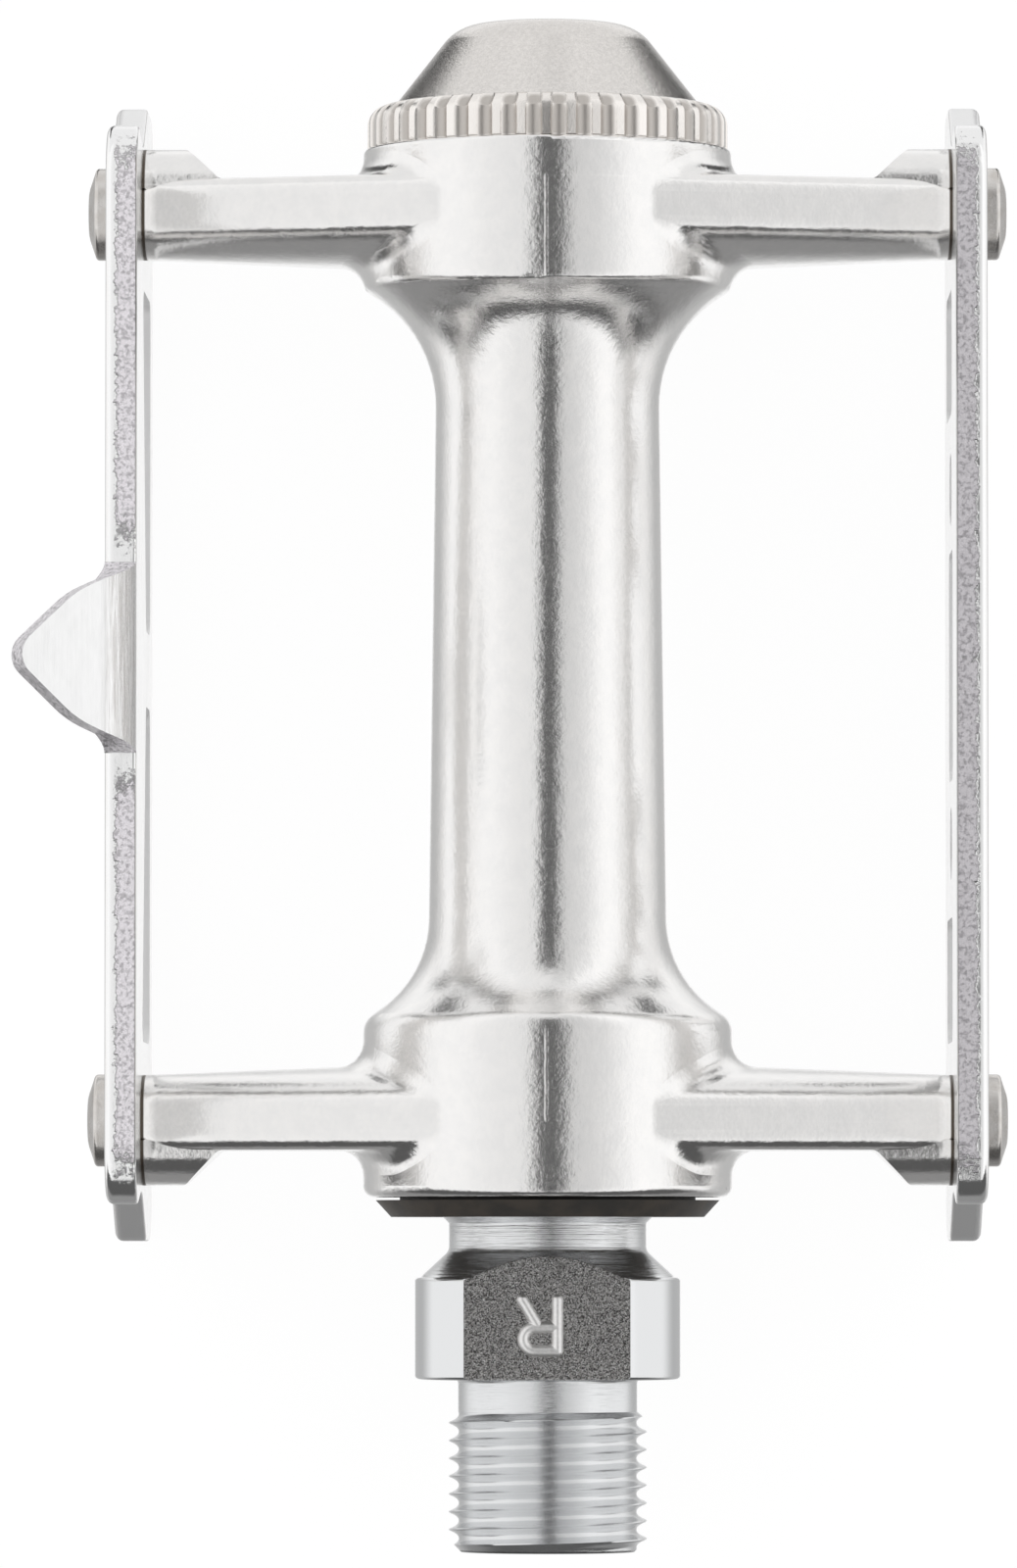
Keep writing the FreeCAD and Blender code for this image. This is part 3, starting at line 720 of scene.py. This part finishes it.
@dataclass(frozen=True)
class MouldedRubber(Finish):
    """Black moulded seal with a faint brown sheen."""

    fine: Grain = Grain(6.0)
    fine_depth: float = 0.012
    cloud: Grain = Grain(0.6, 2.0, 0.5)
    black: Colour = grey(0.028, 0.1)
    brown: Colour = grey(0.045, 0.2)
    rough: float = 0.38
    fine_rough: float = 0.18

    def shade(self, graph: Graph) -> dict:
        """Give the surface's sockets.

        Args:
            graph: The material's nodes.

        Returns:
            Values for the Principled sockets, by name.
        """
        place = graph.place()
        fine = graph.noise(place, self.fine)
        cloud = graph.noise(place, self.cloud)
        return {
            "Base Color": graph.blend(cloud.ramp(*TONES), self.black, self.brown),
            "Roughness": self.rough + self.fine_rough * fine,
            "Normal": graph.bump(fine, self.fine_depth),
        }


@dataclass(frozen=True)
class GroundSteel(Finish):
    """Ground bearing steel of the balls, cups and adjusting parts."""

    lines: Grain = Grain(6.0)
    lines_shares: Point = (0.05, 1.0, 0.05)
    lines_depth: float = 0.003
    dull: Colour = grey(0.5)
    bright: Colour = grey(0.62, 0.01)
    rough: float = 0.14
    lines_rough: float = 0.12

    def shade(self, graph: Graph) -> dict:
        """Give the surface's sockets.

        Args:
            graph: The material's nodes.

        Returns:
            Values for the Principled sockets, by name.
        """
        lines = graph.noise(graph.stretch(graph.place(), self.lines_shares), self.lines)
        return {
            "Base Color": graph.blend(lines.ramp(*TONES), self.dull, self.bright),
            "Metallic": 1.0,
            "Roughness": self.rough + self.lines_rough * lines,
            "Normal": graph.bump(lines, self.lines_depth),
        }


@dataclass(frozen=True)
class FloorGlow(Finish):
    """A floor that the camera sees as white, with a matt share that takes the pedal's shadow."""

    level: float = 0.8
    seen_level: float = 1.05
    matt_level: float = 0.9
    matt_share: float = 0.1

    def surface(self, graph: Graph) -> Value:
        """Give the shader of the whole surface.

        Args:
            graph: The material's nodes.

        Returns:
            The glow with the matt share mixed in.
        """
        glow = graph.glow(graph.blend(graph.seen(), grey(self.level), grey(self.seen_level)))
        matt = graph.node("ShaderNodeBsdfDiffuse", {}, {"Color": grey(self.matt_level)})
        return graph.node("ShaderNodeMixShader", {}, {0: self.matt_share, 1: glow, 2: matt})


@dataclass(frozen=True)
class PanelGlow(Finish):
    """A light panel's face, dimmer by the gap than further out."""

    levels: Span
    reach: Span

    def surface(self, graph: Graph) -> Value:
        """Give the shader of the whole surface.

        Args:
            graph: The material's nodes.

        Returns:
            The glow.
        """
        x, _, _ = graph.axes(graph.place())
        return graph.glow(graph.blend(abs(x).ramp(*self.reach), grey(self.levels[0]), grey(self.levels[1])))


@dataclass(frozen=True)
class CardGlow(Finish):
    """A dark card's even face."""

    level: float

    def surface(self, graph: Graph) -> Value:
        """Give the shader of the whole surface."""
        return graph.glow(grey(self.level))


def wear(piece: bpy.types.Object, material: bpy.types.Material) -> None:
    """Dress a piece in a material.

    Args:
        piece: The mesh object.
        material: The material for its whole surface.

    Returns:
        None.
    """
    piece.data.materials.clear()
    piece.data.materials.append(material)


def new_piece(name: str, points: Sequence[Point], faces: Sequence[Face]) -> bpy.types.Object:
    """Make an object of a mesh and put it in the scene.

    Args:
        name: The name of the mesh and of the object.
        points: The mesh's points in millimetres.
        faces: Its faces, each a row of point numbers.

    Returns:
        The new object.
    """
    mesh = bpy.data.meshes.new(name)
    mesh.from_pydata([(x * MM, y * MM, z * MM) for x, y, z in points], [], faces)
    piece = bpy.data.objects.new(name, mesh)
    bpy.context.collection.objects.link(piece)
    return piece


def level_card(name: str, corners: Sequence[Span], height: float, up: bool) -> bpy.types.Object:
    """Build one level four-sided card.

    Args:
        name: The object's name.
        corners: Its corners in millimetres, anticlockwise from above.
        height: Its Z in millimetres.
        up: Whether it faces up.

    Returns:
        The card's object.
    """
    return new_piece(name, [(x, y, height) for x, y in corners], [(0, 1, 2, 3) if up else (3, 2, 1, 0)])


def round_path(corners: Sequence[Point], steps: int = 8) -> list[Span]:
    """Round a path's corners with tangent arcs.

    Args:
        corners: The corners as (a, b, radius), first and last kept sharp.
        steps: How many pieces an arc is made of.

    Returns:
        The path's points.
    """
    path = [corners[0][:2]]
    for before, (a, b, radius), after in zip(corners, corners[1:], corners[2:]):
        corner = Vector((a, b))
        if radius == 0:
            path.append((a, b))
            continue
        back = (Vector(before[:2]) - corner).normalized()
        on = (Vector(after[:2]) - corner).normalized()
        half = back.angle(on) / 2
        start = corner + back * (radius / math.tan(half))
        centre = corner + (back + on).normalized() * (radius / math.sin(half))
        spoke = start - centre
        sweep = (math.pi - 2 * half) * math.copysign(1, back.x * on.y - back.y * on.x)
        for i in range(steps + 1):
            turn = -sweep * i / steps
            cos, sin = math.cos(turn), math.sin(turn)
            point = centre + Vector((spoke.x * cos - spoke.y * sin, spoke.x * sin + spoke.y * cos))
            path.append((point.x, point.y))
    path.append(corners[-1][:2])
    return path


@dataclass
class Spindle:
    """The spindle with its crank thread cut, and the side mark on its wrench flat."""

    axis_r: float = 0.01
    thread_r: float = 7.1
    thread_start: float = -12.3
    thread_end: float = -2.3
    thread_chamfer: float = 0.9
    thread_pitch: float = 1.27
    thread_depth: float = 0.74
    thread_crest: float = 0.93
    thread_root_power: float = 2.2
    thread_runout: float = 1.2
    core_gap: float = 0.02
    relief_r: float = 6.4
    flange_r: float = 9.52
    flange_end: float = 7.3
    edge: float = 0.3
    flat: float = 7.5
    shoulder_r: float = 9.1
    shoulder_rise: float = 1.9
    neck_r: float = 7.05
    neck_fillet: float = 0.8
    seal_y: float = 11.6
    seal_fillet: float = 0.2
    journal_r: float = 7.5
    cone_y: float = 13.35
    cone_r: float = 8.249
    cone_edge: float = 0.15
    race_r: float = 2.0345
    inner_ball_y: float = 18.7
    shaft_r: float = 5.865
    shaft_end: float = 80.6655
    shaft_end_r: float = 4.7
    screw_r: float = 4.0
    keyway_start: float = 87.1345
    keyway_half: float = 0.8
    keyway_floor: float = 3.1
    spindle_end: float = 92.7345
    segments: int = 320
    steps_per_pitch: int = 16
    shoulder_steps: int = 40
    sharp_degrees: float = 25.0
    mark_low: Span = (-2.4, 1.5)
    mark_high: Span = (1.4, 6.4)
    mark_grid: float = 0.035
    mark_stroke: float = 0.45
    mark_rise: float = 0.3
    mark_sink: float = 0.05
    mark_stem_x: float = 0.74
    mark_bowl: Point = (-0.85, 2.93, 0.83)
    mark_top: float = 5.72
    mark_leg: Span = (-0.6, -1.75)

    def between(self, low: Span, high: Span, share: float) -> Span:
        """Give the point at a share of the way from one outline point to the next."""
        return (low[0] + (high[0] - low[0]) * share, low[1] + (high[1] - low[1]) * share)

    def outline(self) -> list[Span]:
        """Give the turned outline from the crank end to the cap end.

        Returns:
            Points as (radius, y), with the core that the thread is wound on.
        """
        chamfer_r = self.thread_r - self.thread_chamfer
        core_r = self.thread_r - self.thread_depth - self.core_gap
        core_start = self.thread_start + core_r - chamfer_r
        race_y = self.inner_ball_y - self.race_r
        shoulder = [(self.shoulder_r, self.flange_end), (self.neck_r, self.flange_end + self.shoulder_rise)]
        path = round_path([
            (self.axis_r, self.thread_start, 0),
            (chamfer_r, self.thread_start, 0),
            (core_r, core_start, 0),
            (core_r, self.thread_end, 0),
            (self.relief_r, self.thread_end, 0),
            (self.relief_r, 0, self.edge),
            (self.flange_r, 0, self.edge),
            (self.flange_r, self.flange_end, self.edge),
            (*shoulder[0], 0),
            (*shoulder[1], self.neck_fillet),
            (self.neck_r, self.seal_y - self.journal_r + self.neck_r, self.seal_fillet),
            (self.journal_r, self.seal_y, 0),
            (self.journal_r, self.cone_y, self.edge),
            (self.cone_r, self.cone_y, self.edge),
            (self.cone_r, race_y, self.cone_edge),
            (self.shaft_r, race_y, self.race_r),
            (self.shaft_r, self.inner_ball_y + self.race_r, 0),
            (self.shaft_end_r, self.shaft_end, 0),
            (self.screw_r, self.shaft_end, 0),
            (self.screw_r, self.keyway_start, 0),
            (self.screw_r, self.spindle_end, self.edge),
            (self.axis_r, self.spindle_end, 0),
        ])
        foot = path.index(shoulder[0])
        low, high = path[foot], path[foot + 1]
        span = [self.between(low, high, i / self.shoulder_steps) for i in range(1, self.shoulder_steps)]
        return path[:foot + 1] + span + path[foot + 1:]

    def radius(self, r: float, y: float, angle: float) -> float:
        """Cut the wrench flats and the keyway out of the turned outline.

        Args:
            r: The outline's radius.
            y: The place along the spindle.
            angle: The direction from Z towards X.

        Returns:
            The radius that is left.
        """
        towards_z = abs(math.cos(angle))
        if 0 <= y <= self.seal_y and towards_z * r > self.flat:
            return self.flat / towards_z
        in_keyway = y >= self.keyway_start and abs(r * math.sin(angle)) < self.keyway_half
        if in_keyway and r * math.cos(angle) > self.keyway_floor:
            return self.keyway_floor / math.cos(angle)
        return r

    def thread(self, first: int) -> tuple[list[Point], list[Face]]:
        """Wind the thread round its core as one strip, cut off level at both ends.

        Args:
            first: The number of the strip's first point in the mesh.

        Returns:
            The strip's points and its faces.
        """
        length = self.thread_end - self.thread_start
        count = round((length / self.thread_pitch + 1) * self.segments)
        across = self.steps_per_pitch
        points = []
        rises = []
        for i in range(count + 1):
            angle = 2 * math.pi * i / self.segments
            for j in range(across + 1):
                up = self.thread_pitch * (i / self.segments - 1 + j / across)
                up = min(max(up, 0), length)
                from_root = 1 - abs(2 * j / across - 1)
                groove = 1 - min(from_root / self.thread_crest, 1) ** self.thread_root_power
                r = min(
                    self.thread_r - self.thread_depth * groove,
                    self.thread_r - self.thread_chamfer + up,
                    self.relief_r + (length - up) * self.thread_runout,
                )
                points.append((r * math.sin(angle), self.thread_start + up, r * math.cos(angle)))
                rises.append(up)
        faces = []
        for i in range(count):
            for j in range(across):
                low = i * (across + 1) + j
                high = low + across + 1
                if rises[low] < length and rises[high + 1] > 0:
                    faces.append(tuple(first + corner for corner in (high, low, low + 1, high + 1)))
        return points, faces

    def spindle_mesh(self) -> bpy.types.Object:
        """Build the spindle.

        Returns:
            The spindle's object.
        """
        points = []
        outline = self.outline()
        for r, y in outline:
            for i in range(self.segments):
                angle = 2 * math.pi * i / self.segments
                left = self.radius(r, y, angle)
                points.append((left * math.sin(angle), y, left * math.cos(angle)))
        faces = []
        for ring in range(len(outline) - 1):
            low = ring * self.segments
            high = low + self.segments
            for i in range(self.segments):
                j = (i + 1) % self.segments
                faces.append((low + j, low + i, high + i, high + j))
        last = (len(outline) - 1) * self.segments
        faces.append(tuple(range(self.segments)))
        faces.append(tuple(last + i for i in reversed(range(self.segments))))
        thread_points, thread_faces = self.thread(len(points))
        piece = new_piece("threaded_spindle", points + thread_points, faces + thread_faces)
        piece.data.shade_smooth()
        piece.data.set_sharp_from_angle(angle=math.radians(self.sharp_degrees))
        return piece

    def from_mark(self, x: float, y: float) -> float:
        """Find how far a spot on the flat lies from the middle of the letter's strokes.

        Args:
            x: The spot's X in millimetres.
            y: The spot's Y in millimetres.

        Returns:
            The distance to the nearest stroke: the stem, the bowl's two bars and its bend, or the leg.
        """
        spot = Vector((x, y))
        bowl_x, bowl_y, bowl_r = self.mark_bowl
        bars = [
            ((self.mark_stem_x, bowl_y - bowl_r), (self.mark_stem_x, self.mark_top)),
            ((self.mark_stem_x, bowl_y - bowl_r), (bowl_x, bowl_y - bowl_r)),
            ((self.mark_stem_x, bowl_y + bowl_r), (bowl_x, bowl_y + bowl_r)),
            ((self.mark_leg[0], bowl_y + bowl_r), (self.mark_leg[1], self.mark_top)),
        ]
        nearest = abs(math.hypot(x - bowl_x, y - bowl_y) - bowl_r) if x < bowl_x else math.inf
        for start, end in bars:
            along = Vector(end) - Vector(start)
            share = min(max((spot - Vector(start)).dot(along) / along.length_squared, 0), 1)
            nearest = min(nearest, (spot - Vector(start) - along * share).length)
        return nearest

    def side_mark(self) -> bpy.types.Object:
        """Build the raised letter that tells a right-hand spindle, read from the pedal's other end.

        Returns:
            The letter's object, a grid over the flat that rises along its strokes.
        """
        count_x = round((self.mark_high[0] - self.mark_low[0]) / self.mark_grid)
        count_y = round((self.mark_high[1] - self.mark_low[1]) / self.mark_grid)
        points = []
        away = []
        for j in range(count_y + 1):
            for i in range(count_x + 1):
                x = self.mark_low[0] + i * self.mark_grid
                y = self.mark_low[1] + j * self.mark_grid
                share = self.from_mark(x, y) / self.mark_stroke
                rise = (self.mark_rise + self.mark_sink) * max(1 - share**2, 0) - self.mark_sink
                away.append(share)
                points.append((x, y, self.flat + rise))
        faces = []
        for j in range(count_y):
            for i in range(count_x):
                first = j * (count_x + 1) + i
                corners = (first, first + 1, first + count_x + 2, first + count_x + 1)
                if min(away[corner] for corner in corners) < 1:
                    faces.append(corners)
        piece = new_piece("side_mark", points, faces)
        piece.data.shade_smooth()
        return piece

    def build(self) -> list[bpy.types.Object]:
        """Build and dress the spindle and its mark.

        Returns:
            The pieces.
        """
        spindle = self.spindle_mesh()
        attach(spindle, Body.SPINDLE.value)
        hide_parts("spindle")
        wear(spindle, TurnedChrome("turned_chrome").material())
        mark = self.side_mark()
        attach(mark, Body.SPINDLE.value)
        wear(mark, RaisedSkin("raised_skin").material())
        return [spindle, mark]


@dataclass
class Dressing:
    """Finishes of the construction's own nodes, each with the start of the names that it covers."""

    # The front plate's torn metal is painted a darker grey than the rear plate's: painted shade on one of two like
    # plates.
    front_torn_shade_level: float = 0.72

    def plan(self) -> list[tuple[str, Finish, Slot]]:
        """List which finish goes on which nodes.

        Returns:
            The start of the nodes' names, the finish and the slot.
        """
        steel = GroundSteel("ground_steel")
        # The front plate has no smooth middle in its torn band, and a darker torn grey as painted shade.
        front = StampedSheet("front_sheet", smooth_half=0.0, torn_level=self.front_torn_shade_level)
        return [
            ("pedal_body", ForgedAluminium("forged_aluminium"), Slot.BODY),
            ("rear_cage_plate", StampedSheet("rear_sheet"), Slot.CAGE),
            ("front_cage_plate", front, Slot.CAGE),
            ("cage_rivets", NickelHead("nickel_head"), Slot.RIVET),
            ("dust_cap", SatinTurning("satin_turning"), Slot.CAP),
            ("dust_seal", MouldedRubber("moulded_rubber"), Slot.SEAL),
            ("inner_b", steel, Slot.BEARING),
            ("outer_b", steel, Slot.BEARING),
            ("adjusting_cone", steel, Slot.BEARING),
            ("lock", steel, Slot.BEARING),
        ]

    def build(self) -> list[bpy.types.Object]:
        """Dress the nodes.

        Returns:
            The nodes that were dressed.
        """
        made = {}
        dressed = []
        for start, finish, slot in self.plan():
            if finish.name not in made:
                made[finish.name] = finish.material()
            for name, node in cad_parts.items():
                if name.startswith(start):
                    wear(node, made[finish.name])
                    dressed.append(node)
        return dressed


@dataclass
class Studio:
    """White floor, two light panels overhead with a gap that the camera looks through, and a pale surround."""

    floor_half: float = 4000.0
    panel_height: float = 200.0
    panel_reach: float = 1500.0
    panel_start: float = -600.0
    panel_rise: float = 330.0
    gap: Span = (-26.0, 38.5)
    gap_level: float = 0.13
    gap_span: Span = (0.35, 0.6)
    left_levels: Span = (0.84, 1.0)
    right_levels: Span = (0.66, 1.06)
    cap_level: float = 0.87
    cap_span: Span = (0.5, 0.8)
    below_level: float = 0.52
    below_span: Span = (0.45, 0.8)
    below_cap_span: Span = (0.2, 0.5)
    straight_down: Span = (0.94, 0.985)
    crank_levels: Span = (0.1, 0.27)
    crank_rise: Span = (0.35, 0.55)
    crank_span: Span = (0.3, 0.55)
    card_level: float = 0.08
    card_height: float = -80.0
    card_near: Span = (36.0, 104.0)
    card_far: Span = (150.0, 235.0)
    card_width: float = 32.0

    def world(self) -> bpy.types.World:
        """Build the surround: bright at the sides and straight below, dark towards the crank end.

        Returns:
            The scene's world.
        """
        world = bpy.data.worlds.new("studio")
        world.use_nodes = True
        graph = Graph(world.node_tree)
        _, y, z = graph.axes(graph.node("ShaderNodeTexCoord", {}, {}, "Generated"))
        level = 1 - (1 - self.gap_level) * z.ramp(*self.gap_span)
        level = level * (1 - (1 - self.cap_level) * y.ramp(*self.cap_span))
        below = (-z).ramp(*self.below_span) * (1 - y.ramp(*self.below_cap_span))
        level = level * (1 - (1 - self.below_level) * below)
        low, high = self.crank_levels
        crank_side = low + (high - low) * (-z).ramp(*self.crank_rise)
        level = level + (crank_side - level) * (-y).ramp(*self.crank_span)
        level = level.most((-z).ramp(*self.straight_down))
        colour = graph.blend(level.most(graph.seen()), grey(0.0), grey(1.0))
        light = graph.node("ShaderNodeBackground", {}, {"Color": colour, "Strength": 1.0})
        graph.node("ShaderNodeOutputWorld", {}, {"Surface": light})
        bpy.context.scene.world = world
        return world

    def floor(self, height: float) -> bpy.types.Object:
        """Build the floor that the pedal lies on.

        Args:
            height: The floor's Z in metres.

        Returns:
            The floor's object.
        """
        half = self.floor_half
        floor = level_card("floor", [(-half, -half), (half, -half), (half, half), (-half, half)], height / MM, True)
        floor.data.materials.append(FloorGlow("floor").material())
        floor.visible_glossy = False
        floor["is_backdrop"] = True
        return floor

    def panel(self, name: str, side: int, levels: Span) -> bpy.types.Object:
        """Build one light panel, dimmer by the gap than further out.

        Args:
            name: The panel's name.
            side: 1 for the panel towards +X, -1 for the other.
            levels: Its brightness by the gap and further out.

        Returns:
            The panel's object.
        """
        edge = self.gap[1] if side > 0 else self.gap[0]
        left, right = sorted((edge, side * self.panel_reach))
        near, far = self.panel_start, self.panel_reach
        panel = level_card(name, [(left, near), (right, near), (right, far), (left, far)], self.panel_height, False)
        panel.data.materials.append(PanelGlow(name, levels, (abs(edge), self.panel_rise)).material())
        panel.visible_camera = False
        panel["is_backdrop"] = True
        return panel

    def card(self, name: str, side: int) -> bpy.types.Object:
        """Build one dark slanting card below the cap, which darkens a flank of its dome.

        Args:
            name: The card's name.
            side: 1 for the card towards +X, -1 for the other.

        Returns:
            The card's object.
        """
        near_x, near_y = side * self.card_near[0], self.card_near[1]
        far_x, far_y = side * self.card_far[0], self.card_far[1]
        width = self.card_width
        corners = [(near_x, near_y), (far_x, far_y), (far_x, far_y + width), (near_x, near_y + width)]
        card = level_card(name, corners, self.card_height, side > 0)
        card.data.materials.append(CardGlow(name, self.card_level).material())
        card.visible_camera = False
        card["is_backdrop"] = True
        return card

    def build(self, height: float) -> None:
        """Build the whole studio.

        Args:
            height: The floor's Z in metres.

        Returns:
            None.
        """
        self.world()
        self.floor(height)
        self.card("left_card", -1)
        self.card("right_card", 1)
        self.panel("left_panel", -1, self.left_levels)
        self.panel("right_panel", 1, self.right_levels)


@dataclass
class PhotoCamera:
    """The photo's viewpoint: nearly straight down, a little towards the crank end."""

    place: Point = (5.0, 10.0, 830.0)
    aim: Point = (-2.8, 42.6, 0.0)
    lens: float = 266.2
    sensor: float = 36.0
    reach_m: float = 20.0

    def build(self) -> bpy.types.Object:
        """Set the camera up.

        Returns:
            The camera's object.
        """
        data = bpy.data.cameras.new("photo_camera")
        data.sensor_width = self.sensor
        data.lens = self.lens
        data.clip_end = self.reach_m
        camera = bpy.data.objects.new("photo_camera", data)
        place = Vector(self.place) * MM
        back = (place - Vector(self.aim) * MM).normalized()
        across = Vector((0, 1, 0)).cross(back).normalized()
        turn = Matrix((across, back.cross(across), back)).transposed()
        camera.matrix_world = Matrix.Translation(place) @ turn.to_4x4()
        bpy.context.collection.objects.link(camera)
        bpy.context.scene.camera = camera
        return camera


def main() -> None:
    """Build everything in order, with the floor laid at the construction's lowest point.

    Returns:
        None.
    """
    logging.basicConfig(level=logging.INFO, format="%(name)s: %(message)s")
    low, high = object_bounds()
    for piece in Spindle().build() + Dressing().build():
        log.info("piece %s, %d faces", piece.name, len(piece.data.polygons))
    Studio().build(low.z)
    PhotoCamera().build()
    bpy.context.scene.view_settings.view_transform = "Standard"


if __name__ == "__main__":
    main()
